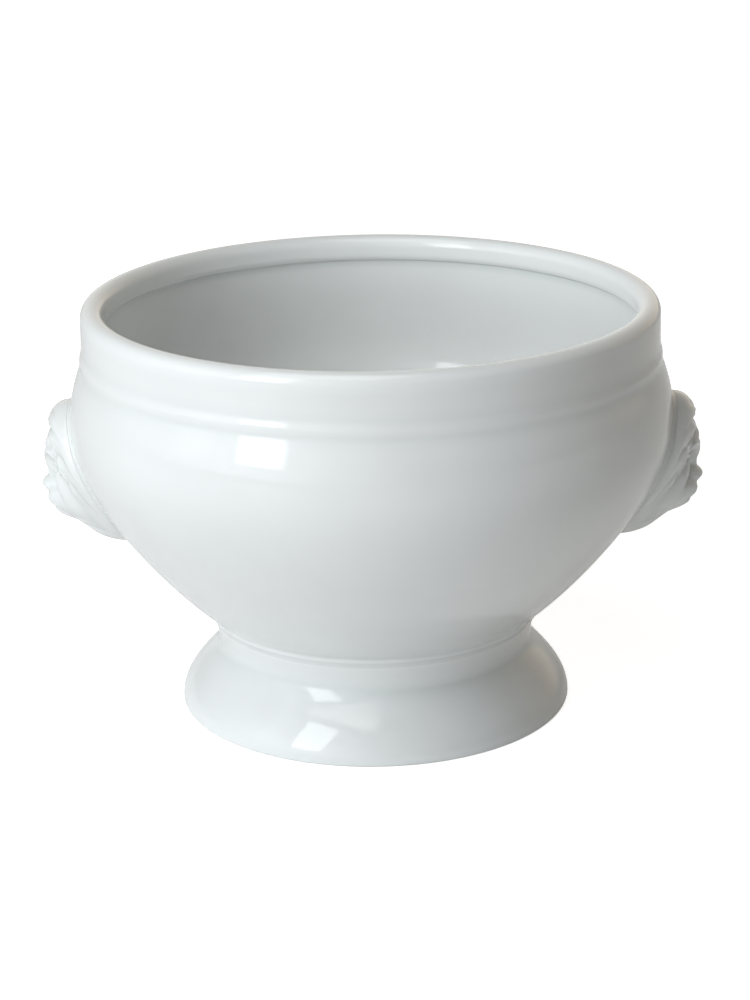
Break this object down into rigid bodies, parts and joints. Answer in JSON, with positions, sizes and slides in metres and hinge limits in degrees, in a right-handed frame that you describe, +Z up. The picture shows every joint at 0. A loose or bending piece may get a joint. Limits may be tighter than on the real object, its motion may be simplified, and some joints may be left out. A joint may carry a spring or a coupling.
{
  "type": "serving bowl",
  "caption": "White glazed porcelain serving bowl: round belly, round shoulder, straight collar with a low raised band, rolled rim, hollow pedestal foot and a lion head in relief on each side as a grip.",
  "frame": {"origin": "centre of the foot ring, on the table", "axes": "+Z up along the bowl's axis, +X towards the right head as the picture shows it, -Y towards the viewer"},
  "size_m": [0.2566, 0.2314, 0.161],
  "materials": {
    "porcelain": "white gloss glaze",
    "slip": "fired slip under the glaze"
  },
  "bodies": {
    "root": {"bowl_body": "porcelain", "pedestal_foot": "porcelain", "foot_slip_joint": "slip", "left_lion_head": "porcelain", "left_head_slip_joint": "slip", "right_lion_head": "porcelain", "right_head_slip_joint": "slip"}
  },
  "joints": []
}
